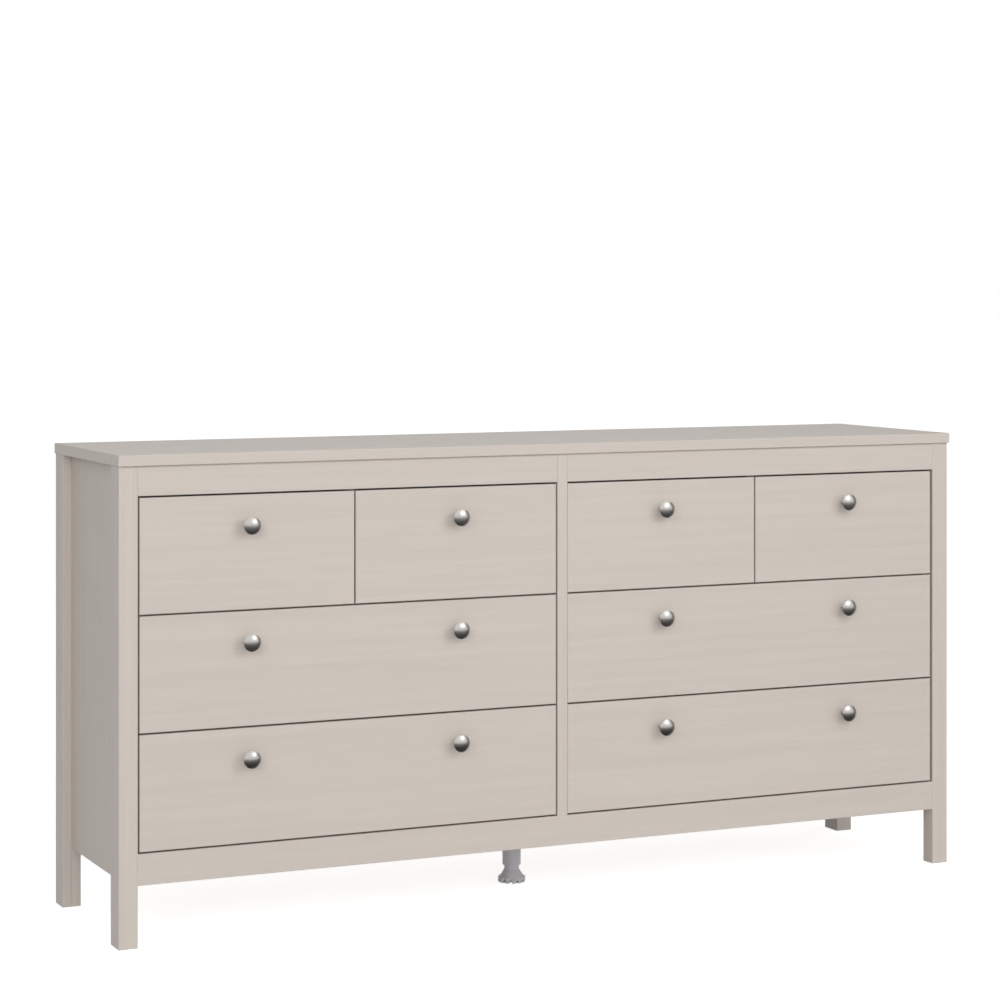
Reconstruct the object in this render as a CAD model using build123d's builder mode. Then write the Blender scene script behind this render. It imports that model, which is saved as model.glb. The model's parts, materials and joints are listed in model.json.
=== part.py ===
from build123d import *
import os
from dataclasses import dataclass
from itertools import pairwise
from math import cos, pi, radians, sin, tau

# A low dresser in laminated board: four small drawers over four wide ones, on four legs and a
# levelling foot under the middle. Millimetres, +X to the right, +Y to the back, +Z up. The origin
# is on the floor, below the middle of the outline with its knobs.

# Overall size
top_length = 1594
top_depth = 382
top_thickness = 18
height = 797
side_overhang = 2
front_overhang = 5.5
rear_overhang = 0.75

# Board and sheet thicknesses
board = 16
partition_thickness = 19
hardboard = 3
edge_break = 0.6

# Legs, apron and rails
leg_depth = 45
leg_inner_depth = 30
apron_bottom = 101
apron_height = 51
rail_height = 49

# Layout of the drawer fronts
row_count = 3
gap = 3
right_bank_shift = -2.3
front_setback = 2

# Back panels, in grooves
back_inset = 9
back_groove_depth = 8
back_groove_play = 0.2
back_edge_play = 0.75
back_bottom = 120

# Drawer boxes
side_thickness = 12
side_height = 122
side_length = 335
side_rise = 22
side_gap = 5.5
back_drop = 10
groove_rise = 9
groove_depth = 5
groove_play = 0.4
tongue = 4.5
batten_width = 45
batten_height = 8

# Cam locks, their bolts and the dowels that hold the boards together
cam_radius = 7.5
cam_depth = 12
cam_setback = 24
bolt_radius = 3
bolt_bite = 8
dowel_radius = 4
dowel_bite = 10
fitting_inset = 60
fitting_play = 0.1

# Runner strips and their screws
runner_length = 300
runner_height = 14
runner_reach = 6
runner_lead = 20
runner_play = 0.5
runner_nose = 3
runner_web = 2.5
runner_flange = 3
runner_groove_depth = 7
screw_sides = 6
screw_shank_radius = 1.75
screw_head_radius = 3.4
screw_head_height = 2.2
screw_bore_radius = 1.8
screw_bite = 7
screw_inset = 40

# Knobs
knob_drop = 50
knob_projection = 24
knob_base_radius = 7.5
knob_waist_reach = 7
knob_waist_radius = 5.5
knob_rim_height = 1.5
knob_radius = 14.75
knob_edge_angle = 50
knob_crown_angle = 12
knob_dome_steps = 3
knob_sides = 20
knob_screw_radius = 2
knob_screw_bite = 11
knob_screw_head_radius = 4
knob_screw_head_height = 2.6
knob_screw_play = 0.25
thread_play = 0.05

# Levelling foot
foot_x = -6
foot_y = 19
flange_radius = 31
flange_height = 4
foot_sides = 28
flange_screw_circle = 23.5
flange_screw_count = 3
sleeve_radius = 16.5
sleeve_bottom = 30
sleeve_chamfer = 2
sleeve_mouth_depth = 14
neck_radius = 13.3
neck_play = 0.4
cone_radius = 21.5
cone_top = 23
rim_height = 10
rim_radius = 22
rim_hollow_radius = 15.5
rim_hollow_depth = 1
lobe_count = 12
lobe_radius = 24.6
lobe_foot_share = 0.36
lobe_tip_share = 0.2
lobe_start_share = 0.5
slot_width = 4.6
slot_height = 5
slot_length = 9
spindle_radius = 11
spindle_top = 92
spindle_seat = 12
spindle_lift = 0.75
spindle_play = 0.05

# Places that follow from these
top_under = height - top_thickness
rear_y = (top_depth - front_overhang + knob_projection) / 2
front_y = knob_projection - rear_y
front_rear_y = front_y + board
rear_face_y = rear_y - rear_overhang
back_face_y = rear_face_y - back_inset - hardboard
leg_x = top_length / 2 - side_overhang
seam_x = leg_x - board
bay_x = seam_x - board
partition_x = partition_thickness / 2
divider_x = (bay_x + partition_x) / 2
inner_front_y = front_rear_y + front_setback
rear_leg_y = rear_face_y - leg_depth
apron_top = apron_bottom + apron_height
rail_bottom = top_under - rail_height
front_height = (rail_bottom - apron_top - (row_count + 1) * gap) / row_count
row_pitch = front_height + gap
shelf_z = apron_top + gap / 2 + (row_count - 1) * row_pitch
runner_depth = side_gap + runner_reach
flat_turn = 180 / screw_sides
runner_front_y = front_rear_y + runner_lead + runner_play
runner_rear_y = runner_front_y + runner_length
runner_screw_ys = (runner_front_y + screw_inset, runner_rear_y - screw_inset)
bottom_under = apron_top - board
flange_under = bottom_under - flange_height
flange_angles = [tau * i / flange_screw_count for i in range(flange_screw_count)]
flange_places = [(flange_screw_circle * cos(a), flange_screw_circle * sin(a)) for a in flange_angles]
fitting_ys = (inner_front_y + fitting_inset, back_face_y - fitting_inset)
shelf_top = shelf_z + board / 2
dowel_joints = [(sign * (bay_x + board / 2), top_under) for sign in (-1, 1)]
dowel_joints += [(sign * divider_x, z) for sign in (-1, 1) for z in (shelf_top, top_under)]
dowel_joints += [(0, apron_top), (0, top_under)]


@dataclass
class Drawer:
    """One drawer: the walls it runs between, its front and its knobs."""
    name: str
    wall_left: float
    wall_right: float
    front_left: float
    front_right: float
    row: int
    knob_xs: list

    @property
    def is_wide(self):
        return len(self.knob_xs) > 1

    @property
    def front_bottom(self):
        return apron_top + gap + self.row * row_pitch

    @property
    def side_bottom(self):
        return self.front_bottom + side_rise

    @property
    def runner_z(self):
        return self.side_bottom + side_height / 2

    @property
    def knob_z(self):
        return self.front_bottom + front_height - knob_drop

    def knob_places(self, facing):
        return [(-facing * x, self.knob_z) for x in self.knob_xs]


def lay_out_drawers():
    """Two banks of one row of two small drawers over two wide drawers."""
    drawers = []
    half = board / 2
    small_width = (bay_x - partition_x - 3 * gap) / 2
    for bank, shift in (("left", 0), ("right", right_bank_shift)):
        start = (-bay_x if bank == "left" else partition_x) + gap + shift
        middle = start + small_width
        end = middle + gap + small_width
        centre = -divider_x if bank == "left" else divider_x
        walls = (-bay_x, -partition_x) if bank == "left" else (partition_x, bay_x)
        knobs = [start + small_width / 2, end - small_width / 2]
        first = 1 if bank == "left" else 3
        drawers += [
            Drawer(f"small_drawer_{first}", walls[0], centre - half, start, middle, 2, knobs[:1]),
            Drawer(f"small_drawer_{first + 1}", centre + half, walls[1], middle + gap, end, 2, knobs[1:]),
            Drawer(f"middle_{bank}_drawer", *walls, start, end, 1, knobs),
            Drawer(f"bottom_{bank}_drawer", *walls, start, end, 0, knobs),
        ]
    return drawers


drawers = lay_out_drawers()


@dataclass
class CamJoint:
    """A cam lock near one end of a board, and its bolt in the wall that the board meets."""
    board_name: str
    wall_x: float
    facing: int
    y: float
    z: float
    is_upright: bool

    @property
    def wall(self):
        return wall_plane(self.wall_x, self.facing)

    @property
    def place(self):
        return self.facing * self.y, self.z

    @property
    def hidden_face(self):
        """The plane that the cam is let into: the rear of an upright board, the underside of a level one."""
        middle = Plane(
            origin=(self.wall_x + self.facing * cam_setback, self.y, self.z),
            x_dir=(1, 0, 0),
            z_dir=(0, 1, 0) if self.is_upright else (0, 0, -1),
        )
        return middle.offset(board / 2)


def lay_out_cams():
    """One cam at each end of the rails and the apron, two at each end of the shelves and the bottom panel."""
    upright_y = front_y + board / 2
    rail_z = top_under - rail_height / 2
    apron_z = apron_bottom + apron_height / 2
    joints = []
    for side, sign in (("left", -1), ("right", 1)):
        outer = (sign * bay_x, -sign)
        for wall in (outer, (sign * partition_x, sign)):
            joints.append(CamJoint(f"{side}_top_rail", *wall, upright_y, rail_z, True))
            joints += [CamJoint(f"{side}_shelf", *wall, y, shelf_z, False) for y in fitting_ys]
        joints.append(CamJoint("front_apron", *outer, upright_y, apron_z, True))
        joints += [CamJoint("bottom_panel", *outer, y, apron_top - board / 2, False) for y in fitting_ys]
    return joints


cam_joints = lay_out_cams()


def save(shape, name):
    """Label a finished piece and write it to its own file."""
    shape.label = name
    export_step(shape, f"parts/{name}.step")


def wall_plane(x, facing):
    """A plane on a bay's wall, with its normal into the bay, local X level and local Y up."""
    return Plane(origin=(x, 0, 0), x_dir=(0, facing, 0), z_dir=(facing, 0, 0))


def front_plane(y, facing):
    """A plane on one face of the drawer fronts, with its normal along Y, local X level and local Y up."""
    return Plane(origin=(0, y, 0), x_dir=(-facing, 0, 0), z_dir=(0, facing, 0))


def foot_plane(z):
    """A plane that looks down on the levelling foot's axis."""
    return Plane(origin=(foot_x, foot_y, z), z_dir=(0, 0, -1))


def pegs(plane, places, radius, depth):
    """Pegs sunk below a plane, to keep or to cut away as holes. They repeat, so they have few sides."""
    with BuildPart() as group:
        with BuildSketch(plane):
            with Locations(*places):
                RegularPolygon(radius, screw_sides, rotation=flat_turn)
        extrude(amount=-depth)
    return group.part


def screws(plane, places, head_radius, head_height, shank_radius, length):
    """Screws with their heads on a plane and their shanks below it."""
    with BuildPart() as group:
        with BuildSketch(plane):
            with Locations(*places):
                RegularPolygon(head_radius, screw_sides, rotation=flat_turn)
        extrude(amount=head_height)
        with BuildSketch(plane):
            with Locations(*places):
                RegularPolygon(shank_radius, screw_sides, rotation=flat_turn)
        extrude(amount=-length)
    return group.part


def runner_places(facing, runner_z):
    """Where the two screws of one runner are, on the plane of its wall."""
    return [(facing * y, runner_z) for y in runner_screw_ys]


def runner_holes(x, facing):
    """The space of the pilot holes in one wall, two for each runner on it."""
    rows = [d.runner_z for d in drawers if x in (d.wall_left, d.wall_right)]
    places = [place for z in rows for place in runner_places(facing, z)]
    return pegs(wall_plane(x, facing), places, screw_bore_radius, screw_bite)


def bolt_holes(x, facing):
    """The space of the cam bolts in one wall."""
    places = [joint.place for joint in cam_joints if (joint.wall_x, joint.facing) == (x, facing)]
    return pegs(wall_plane(x, facing), places, bolt_radius + thread_play, bolt_bite)


def cam_space(board_name):
    """The space of the cams in one board, and of the bolts that reach them from the board's end."""
    with BuildPart() as space:
        for joint in cam_joints:
            if joint.board_name == board_name:
                bore_start = joint.wall.offset(cam_setback)
                add(pegs(bore_start, [joint.place], bolt_radius + fitting_play, cam_setback))
                add(pegs(joint.hidden_face, [(0, 0)], cam_radius + fitting_play, cam_depth))
    return space.part


def dowel_space(x, z):
    """The space of the two dowels that stand in a joint between an upright and a level board."""
    places = [(x, y) for y in fitting_ys]
    return pegs(Plane.XY.offset(z + dowel_bite), places, dowel_radius + fitting_play, 2 * dowel_bite)


def flat_board(x0, x1, y0, y1, z0, z1, eased=False):
    """A board between two opposite corners, with the edges of its front face eased where they show."""
    with BuildPart() as piece:
        with BuildSketch(Plane.XY.offset(z0)):
            with Locations(((x0 + x1) / 2, (y0 + y1) / 2)):
                Rectangle(x1 - x0, y1 - y0)
        extrude(amount=z1 - z0)
        if eased:
            chamfer(piece.faces().sort_by(Axis.Y)[0].edges(), edge_break)
    return piece


os.makedirs("parts", exist_ok=True)

# Top panel
with BuildPart() as top_panel:
    with BuildSketch(Plane.XY.offset(top_under)):
        with Locations((0, rear_y - top_depth / 2)):
            Rectangle(top_length, top_depth)
    extrude(amount=top_thickness)
    chamfer(top_panel.edges(), edge_break)
    for x, z in dowel_joints:
        if z == top_under:
            add(dowel_space(x, z), mode=Mode.SUBTRACT)
save(top_panel.part, "top_panel")

# Legs and side panels
for side, sign in (("left", -1), ("right", 1)):
    with BuildPart() as front_leg:
        with BuildSketch():
            with BuildLine():
                Polyline(
                    (sign * leg_x, front_y),
                    (sign * bay_x, front_y),
                    (sign * bay_x, front_y + leg_inner_depth),
                    (sign * seam_x, front_y + leg_inner_depth),
                    (sign * seam_x, front_y + leg_depth),
                    (sign * leg_x, front_y + leg_depth),
                    close=True,
                )
            make_face()
        extrude(amount=top_under)
        chamfer(front_leg.edges().filter_by(Axis.Z).group_by(Axis.Y)[0], edge_break)
        add(bolt_holes(sign * bay_x, -sign), mode=Mode.SUBTRACT)
    save(front_leg.part, f"{side}_front_leg")

    with BuildPart() as rear_leg:
        with BuildSketch():
            with Locations((sign * (leg_x - board / 2), rear_face_y - leg_depth / 2)):
                Rectangle(board, leg_depth)
        extrude(amount=top_under)
        chamfer(rear_leg.edges().filter_by(Axis.Z), edge_break)
    save(rear_leg.part, f"{side}_rear_leg")

    with BuildPart() as side_panel:
        with BuildSketch(Plane.YZ.offset(sign * (bay_x + board / 2))):
            with BuildLine():
                Polyline(
                    (front_y + leg_inner_depth, apron_bottom),
                    (rear_leg_y, apron_bottom),
                    (rear_leg_y, 0),
                    (rear_face_y, 0),
                    (rear_face_y, top_under),
                    (front_y + leg_inner_depth, top_under),
                    close=True,
                )
            make_face()
        extrude(amount=board / 2, both=True)
        with BuildSketch(Plane.XY.offset(back_bottom)):
            with Locations((sign * (bay_x + back_groove_depth / 2), back_face_y + hardboard / 2)):
                Rectangle(back_groove_depth, hardboard + back_groove_play)
        extrude(amount=top_under - back_bottom, mode=Mode.SUBTRACT)
        add(runner_holes(sign * bay_x, -sign), mode=Mode.SUBTRACT)
        add(bolt_holes(sign * bay_x, -sign), mode=Mode.SUBTRACT)
        add(dowel_space(sign * (bay_x + board / 2), top_under), mode=Mode.SUBTRACT)
    save(side_panel.part, f"{side}_side_panel")

# Centre partition
with BuildPart() as partition:
    with BuildSketch(Plane.XY.offset(apron_top)):
        with Locations((0, (front_y + back_face_y) / 2)):
            Rectangle(partition_thickness, back_face_y - front_y)
    extrude(amount=top_under - apron_top)
    for facing in (-1, 1):
        add(runner_holes(facing * partition_x, facing), mode=Mode.SUBTRACT)
        add(bolt_holes(facing * partition_x, facing), mode=Mode.SUBTRACT)
    for z in (apron_top, top_under):
        add(dowel_space(0, z), mode=Mode.SUBTRACT)
save(partition.part, "centre_partition")

# Apron and bottom panel
apron = flat_board(-bay_x, bay_x, front_y, front_rear_y, apron_bottom, apron_top, eased=True)
with apron:
    add(cam_space("front_apron"), mode=Mode.SUBTRACT)
save(apron.part, "front_apron")
bottom = flat_board(-bay_x, bay_x, front_rear_y, back_face_y, bottom_under, apron_top)
with bottom:
    add(pegs(foot_plane(bottom_under), flange_places, screw_bore_radius, screw_bite), mode=Mode.SUBTRACT)
    add(cam_space("bottom_panel"), mode=Mode.SUBTRACT)
    add(dowel_space(0, apron_top), mode=Mode.SUBTRACT)
save(bottom.part, "bottom_panel")

# Rails, shelves, dividers and back panels of each bank
for side, sign in (("left", -1), ("right", 1)):
    inner, outer = sorted((sign * partition_x, sign * bay_x))
    rail = flat_board(inner, outer, front_y, front_rear_y, rail_bottom, top_under, eased=True)
    with rail:
        add(cam_space(f"{side}_top_rail"), mode=Mode.SUBTRACT)
    save(rail.part, f"{side}_top_rail")

    middle = sign * divider_x
    shelf = flat_board(inner, outer, inner_front_y, back_face_y, shelf_z - board / 2, shelf_top)
    with shelf:
        add(cam_space(f"{side}_shelf"), mode=Mode.SUBTRACT)
        add(dowel_space(middle, shelf_top), mode=Mode.SUBTRACT)
    save(shelf.part, f"{side}_shelf")

    half = board / 2
    divider = flat_board(middle - half, middle + half, inner_front_y, back_face_y, shelf_top, top_under)
    with divider:
        for z in (shelf_top, top_under):
            add(dowel_space(middle, z), mode=Mode.SUBTRACT)
        for facing in (-1, 1):
            add(runner_holes(middle + facing * half, facing), mode=Mode.SUBTRACT)
    save(divider.part, f"{side}_divider")

    seam, edge = sorted((sign * back_edge_play, sign * (bay_x + back_groove_depth - back_edge_play)))
    back_low = back_bottom + back_edge_play
    back = flat_board(seam, edge, back_face_y, back_face_y + hardboard, back_low, top_under)
    save(back.part, f"{side}_back_panel")

# Cam locks and their bolts, and dowels
cam_reach = cam_setback - (cam_radius + fitting_play) * cos(pi / screw_sides)
with BuildPart() as cam_locks:
    for joint in cam_joints:
        add(pegs(joint.hidden_face, [(0, 0)], cam_radius, cam_depth - fitting_play))
save(cam_locks.part, "cam_locks")

with BuildPart() as cam_bolts:
    for joint in cam_joints:
        bolt_length = cam_reach + bolt_bite - thread_play
        add(pegs(joint.wall.offset(cam_reach), [joint.place], bolt_radius, bolt_length))
save(cam_bolts.part, "cam_bolts")

with BuildPart() as dowels:
    for x, z in dowel_joints:
        half = dowel_bite - fitting_play
        add(pegs(Plane.XY.offset(z + half), [(x, y) for y in fitting_ys], dowel_radius, 2 * half))
save(dowels.part, "dowels")

# Runner strips: channels with bevelled ends, each on two screws with their heads inside
runner_walls = [(d, x, facing) for d in drawers for x, facing in ((d.wall_left, 1), (d.wall_right, -1))]
for name, wide in (("small_drawer_runners", False), ("wide_drawer_runners", True)):
    with BuildPart() as runners:
        for drawer, x, facing in runner_walls:
            if drawer.is_wide != wide:
                continue
            wall = wall_plane(x, facing)
            middle = (facing * (runner_front_y + runner_rear_y) / 2, drawer.runner_z)
            with BuildSketch(wall) as outline:
                with Locations(middle):
                    Rectangle(runner_length, runner_height)
                chamfer(outline.vertices(), runner_nose)
            extrude(amount=runner_depth)
            with BuildSketch(wall.offset(runner_web)):
                with Locations(middle):
                    Rectangle(runner_length, runner_height - 2 * runner_flange)
            extrude(amount=runner_depth, mode=Mode.SUBTRACT)
            places = runner_places(facing, drawer.runner_z)
            add(pegs(wall.offset(runner_web), places, screw_bore_radius, runner_web), mode=Mode.SUBTRACT)
    save(runners.part, name)

with BuildPart() as runner_screws:
    for drawer, x, facing in runner_walls:
        add(
            screws(
                wall_plane(x, facing).offset(runner_web),
                runner_places(facing, drawer.runner_z),
                screw_head_radius,
                screw_head_height,
                screw_shank_radius,
                runner_web + screw_bite - thread_play,
            )
        )
save(runner_screws.part, "runner_screws")


def drawer_front(drawer):
    """Front board with an eased face, a stopped groove for the bottom and knob screw holes."""
    width = drawer.front_right - drawer.front_left
    inside_left = drawer.wall_left + side_gap + side_thickness
    inside_right = drawer.wall_right - side_gap - side_thickness
    with BuildPart() as front:
        with BuildSketch(Plane.XY.offset(drawer.front_bottom)):
            with Locations((drawer.front_left + width / 2, front_y + board / 2)):
                Rectangle(width, board)
        extrude(amount=front_height)
        chamfer(front.faces().sort_by(Axis.Y)[0].edges(), edge_break)
        with BuildSketch(Plane.XY.offset(drawer.side_bottom + groove_rise)):
            with Locations(((inside_left + inside_right) / 2, front_rear_y - groove_depth / 2)):
                Rectangle(inside_right - inside_left + 2 * groove_depth, groove_depth)
        extrude(amount=hardboard + groove_play, mode=Mode.SUBTRACT)
        face = front_plane(front_y, -1)
        hole_radius = knob_screw_radius + knob_screw_play
        add(pegs(face, drawer.knob_places(-1), hole_radius, board), mode=Mode.SUBTRACT)
    save(front.part, f"{drawer.name}_front")


def drawer_side(outer_x, facing, drawer):
    """One side of a box, with a groove for its runner outside and one for the bottom inside."""
    middle_y = front_rear_y + side_length / 2
    with BuildPart() as side:
        with BuildSketch(Plane.XY.offset(drawer.side_bottom)):
            with Locations((outer_x + facing * side_thickness / 2, middle_y)):
                Rectangle(side_thickness, side_length)
        extrude(amount=side_height)
        with BuildSketch(Plane.XY.offset(drawer.runner_z - runner_height / 2 - runner_play)):
            with Locations((outer_x + facing * runner_groove_depth / 2, middle_y + runner_lead / 2)):
                Rectangle(runner_groove_depth, side_length - runner_lead)
        extrude(amount=runner_height + 2 * runner_play, mode=Mode.SUBTRACT)
        with BuildSketch(Plane.XY.offset(drawer.side_bottom + groove_rise)):
            with Locations((outer_x + facing * (side_thickness - groove_depth / 2), middle_y)):
                Rectangle(groove_depth, side_length)
        extrude(amount=hardboard + groove_play, mode=Mode.SUBTRACT)
    return side


def drawer_box(drawer):
    """Two sides and a back, and under a wide bottom a batten along its middle, as separate boards."""
    left = drawer.wall_left + side_gap
    right = drawer.wall_right - side_gap
    middle = (left + right) / 2
    rear = front_rear_y + side_length
    under = drawer.side_bottom + groove_rise
    pieces = [
        drawer_side(left, 1, drawer),
        drawer_side(right, -1, drawer),
        flat_board(
            left + side_thickness,
            right - side_thickness,
            rear - side_thickness,
            rear,
            under + hardboard,
            drawer.side_bottom + side_height - back_drop,
        ),
    ]
    if drawer.is_wide:
        half = batten_width / 2
        lowest = under - batten_height
        pieces.append(flat_board(middle - half, middle + half, front_rear_y, rear, lowest, under))
    save(Compound([piece.part.solid() for piece in pieces]), f"{drawer.name}_box")


def drawer_bottom(drawer):
    """Hardboard sheet that slides in from behind, into grooves in the sides and the front."""
    left = drawer.wall_left + side_gap + side_thickness - tongue
    right = drawer.wall_right - side_gap - side_thickness + tongue
    under = drawer.side_bottom + groove_rise
    rear = front_rear_y + side_length
    sheet = flat_board(left, right, front_rear_y - tongue, rear, under, under + hardboard)
    save(sheet.part, f"{drawer.name}_bottom")


def knob_rings():
    """Distance from the front and radius along a knob: waisted foot, thin rim, and a dome on a sphere."""
    edge = radians(knob_edge_angle)
    crown = radians(knob_crown_angle)
    ball = knob_radius / sin(edge)
    angles = [edge + (crown - edge) * step / knob_dome_steps for step in range(knob_dome_steps + 1)]
    dome = [(knob_projection - ball * (cos(crown) - cos(a)), ball * sin(a)) for a in angles]
    rim_start = dome[0][0] - knob_rim_height
    foot = [(0, knob_base_radius), (knob_waist_reach, knob_waist_radius), (rim_start, knob_radius)]
    return foot + dome


def faceted(rings, is_hollow=False):
    """A turned form of flat facets between rings of corners. A hollow one joins its ends to each other."""
    outlines = [] if is_hollow else [rings[0], rings[-1]]
    for near, far in pairwise([*rings, rings[0]] if is_hollow else rings):
        outlines += [(near[side - 1], near[side], far[side], far[side - 1]) for side in range(len(near))]
    return Solid(Shell([Face(Wire.make_polygon(outline)) for outline in outlines]))


def turned_knob(x, z):
    """A knob on the front. It repeats twelve times, so its round form is made of flat facets."""
    angles = [tau * side / knob_sides for side in range(knob_sides)]
    profile = knob_rings()
    rings = [[(x + r * cos(a), front_y - reach, z + r * sin(a)) for a in angles] for reach, r in profile]
    return faceted(rings)


def foot_rings(profile):
    """Rings of corners about the foot's axis, one for each radius and height."""
    angles = [tau * side / foot_sides for side in range(foot_sides)]
    return [[(foot_x + r * cos(a), foot_y + r * sin(a), z) for a in angles] for r, z in profile]


def drawer_knobs(drawer):
    """Knobs of one drawer, each on a screw from inside."""
    with BuildPart() as knobs:
        for x in drawer.knob_xs:
            add(turned_knob(x, drawer.knob_z))
        places = drawer.knob_places(1)
        bore_radius = knob_screw_radius + thread_play
        add(pegs(front_plane(front_y, 1), places, bore_radius, knob_screw_bite), mode=Mode.SUBTRACT)
        add(
            screws(
                front_plane(front_rear_y, 1),
                places,
                knob_screw_head_radius,
                knob_screw_head_height,
                knob_screw_radius,
                board + knob_screw_bite - thread_play,
            )
        )
    save(knobs.part, f"{drawer.name}_{'knobs' if drawer.is_wide else 'knob'}")


# Drawers
for drawer in drawers:
    drawer_front(drawer)
    drawer_box(drawer)
    drawer_bottom(drawer)
    drawer_knobs(drawer)

# Levelling foot: a flanged sleeve, screws, spindle and a base with a lobed rim
neck_top = sleeve_bottom + sleeve_chamfer
bore_corner_radius = (spindle_radius + spindle_play) / cos(pi / foot_sides)
mouth_corner_radius = (neck_radius + neck_play) / cos(pi / foot_sides)
sleeve_profile = [
    (mouth_corner_radius, sleeve_bottom),
    (sleeve_radius - sleeve_chamfer, sleeve_bottom),
    (sleeve_radius, neck_top),
    (sleeve_radius, flange_under),
    (flange_radius, flange_under),
    (flange_radius, bottom_under),
    (bore_corner_radius, bottom_under),
    (bore_corner_radius, sleeve_bottom + sleeve_mouth_depth),
    (mouth_corner_radius, sleeve_bottom + sleeve_mouth_depth),
]
with BuildPart() as foot_sleeve:
    add(faceted(foot_rings(sleeve_profile), is_hollow=True))
    add(pegs(foot_plane(flange_under), flange_places, screw_bore_radius, flange_height), mode=Mode.SUBTRACT)
save(foot_sleeve.part, "foot_sleeve")

foot_screws = screws(
    foot_plane(flange_under),
    flange_places,
    screw_head_radius,
    screw_head_height,
    screw_shank_radius,
    flange_height + screw_bite - thread_play,
)
save(foot_screws, "foot_screws")

spindle_profile = [
    (spindle_radius, spindle_seat + spindle_lift),
    (spindle_radius, spindle_top - sleeve_chamfer),
    (spindle_radius - sleeve_chamfer, spindle_top),
]
with BuildPart() as foot_spindle:
    add(faceted(foot_rings(spindle_profile)))
save(foot_spindle.part, "foot_spindle")

lobe_angle = tau / lobe_count
lobe_shape = [
    (rim_radius, -lobe_foot_share),
    (lobe_radius, -lobe_tip_share),
    (lobe_radius, lobe_tip_share),
    (rim_radius, lobe_foot_share),
]
lobe_middles = [lobe + lobe_start_share for lobe in range(lobe_count)]
rim_corners = [(r, (middle + share) * lobe_angle) for middle in lobe_middles for r, share in lobe_shape]
cone_profile = [(cone_radius, rim_height), (neck_radius, cone_top), (neck_radius, neck_top)]
foot_floor = Plane(origin=(foot_x, foot_y, 0))

with BuildPart() as foot_base:
    with BuildSketch(foot_floor):
        with BuildLine():
            Polyline(*[(r * cos(a), r * sin(a)) for r, a in rim_corners], close=True)
        make_face()
    extrude(amount=rim_height)
    add(faceted(foot_rings(cone_profile)))
    with BuildSketch(foot_floor):
        RegularPolygon(rim_hollow_radius, 2 * lobe_count)
    extrude(amount=rim_hollow_depth, mode=Mode.SUBTRACT)
    with BuildSketch(foot_floor):
        with PolarLocations(rim_radius, lobe_count):
            Rectangle(slot_length, slot_width)
    extrude(amount=slot_height, mode=Mode.SUBTRACT)
    with Locations((foot_x, foot_y, neck_top)):
        Hole(spindle_radius + spindle_play, depth=neck_top - spindle_seat)
save(foot_base.part, "foot_base")
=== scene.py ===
# %% [markdown]
# # A low dresser in grey wood-print foil
#
# The frame holds every board, drawer and runner at its real size, so this lesson adds the looks: the
# printed foil, turned knobs, a moulded levelling foot, small screws and nails, and a plain studio.
# Every length in the frame is in metres, with +Z up and the drawer fronts facing -Y.

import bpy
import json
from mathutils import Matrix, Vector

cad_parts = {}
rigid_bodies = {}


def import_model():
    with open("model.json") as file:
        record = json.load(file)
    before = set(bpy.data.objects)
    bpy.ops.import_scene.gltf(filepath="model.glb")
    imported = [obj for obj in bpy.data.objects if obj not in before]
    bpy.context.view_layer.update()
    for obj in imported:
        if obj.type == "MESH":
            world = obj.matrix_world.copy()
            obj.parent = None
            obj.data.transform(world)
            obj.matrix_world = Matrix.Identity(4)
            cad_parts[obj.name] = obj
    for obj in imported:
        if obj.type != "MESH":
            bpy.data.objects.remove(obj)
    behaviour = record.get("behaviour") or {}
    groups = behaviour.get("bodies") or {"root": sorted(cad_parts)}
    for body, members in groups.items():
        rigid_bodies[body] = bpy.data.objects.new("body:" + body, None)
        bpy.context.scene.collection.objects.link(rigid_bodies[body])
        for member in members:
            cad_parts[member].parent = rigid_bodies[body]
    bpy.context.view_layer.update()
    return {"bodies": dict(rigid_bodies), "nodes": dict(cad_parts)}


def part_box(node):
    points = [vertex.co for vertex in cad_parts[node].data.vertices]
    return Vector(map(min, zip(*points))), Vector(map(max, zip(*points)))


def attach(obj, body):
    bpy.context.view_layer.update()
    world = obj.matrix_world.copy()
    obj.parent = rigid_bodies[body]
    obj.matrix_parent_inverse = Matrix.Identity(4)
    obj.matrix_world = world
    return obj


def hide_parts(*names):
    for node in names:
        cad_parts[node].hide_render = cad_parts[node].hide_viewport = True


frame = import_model()

# %% [markdown]
# ## Camera
#
# The photograph has upright verticals and one vanishing point on each side, which a level camera with
# a shifted lens gives. A tilted camera would pull the legs together towards the floor. The horizon row
# and the focal length, both in pixels of the 1000-pixel image, set the shift and the lens.

# %% Camera
import math

import bmesh
import bpy
import numpy as np
from mathutils import Vector

IMAGE_SIDE = 1000
FOCAL_PIXELS = 2692.0
HORIZON_ROW = 286.9
SENSOR_WIDTH = 36.0
CAMERA_PLACE = (-2.05623, -4.36387, 1.06794)
CAMERA_YAW = math.radians(-24.8226)

camera_data = bpy.data.cameras.new("camera")
camera_data.sensor_width = SENSOR_WIDTH
camera_data.lens = FOCAL_PIXELS / IMAGE_SIDE * SENSOR_WIDTH
camera_data.shift_y = HORIZON_ROW / IMAGE_SIDE - 0.5
camera = bpy.data.objects.new("camera", camera_data)
camera.location = CAMERA_PLACE
camera.rotation_euler = (math.pi / 2, 0, CAMERA_YAW)
scene = bpy.context.scene
scene.collection.objects.link(camera)
scene.camera = camera
scene.view_settings.view_transform = "Standard"
print("lens", round(camera_data.lens, 2), "mm, shift", round(camera_data.shift_y, 4))

# %% [markdown]
# ## Helpers for materials
#
# Colours are picked as sRGB hex values, as a paint chart gives them, and a shader wants linear light.
# A node is always added in the same way: its settings, then for each socket a value or a link. So every
# material below reads as a list of nodes from the pattern to the surface.

# %% Material helpers
MM = 0.001
SRGB_KNEE = 0.04045
SRGB_OFFSET = 0.055
SRGB_POWER = 2.4
SRGB_SLOPE = 12.92


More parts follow.
